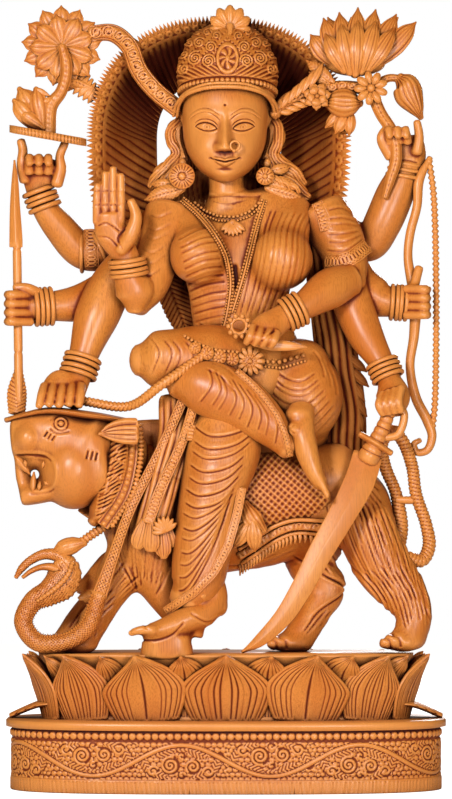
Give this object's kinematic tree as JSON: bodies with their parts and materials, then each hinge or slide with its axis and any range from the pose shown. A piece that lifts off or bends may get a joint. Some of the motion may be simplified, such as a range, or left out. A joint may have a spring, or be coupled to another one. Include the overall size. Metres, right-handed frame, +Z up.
{
  "type": "carved durga figure",
  "caption": "Goddess with a weapon or flower in each hand, seated on a striding lion, carved in one with a halo, a lotus and an oval plinth.",
  "frame": {"origin": "middle of the plinth's underside", "axes": "+Z up to the halo and flowers, the goddess faces -Y, the lion's head is towards -X"},
  "size_m": [0.34, 0.147, 0.6068],
  "materials": {
    "carved_wood": "carved light orange-brown wood, waxed to a soft gloss, darker in the cuts"
  },
  "bodies": {
    "root": {"durga_carving": "carved_wood"}
  },
  "joints": []
}
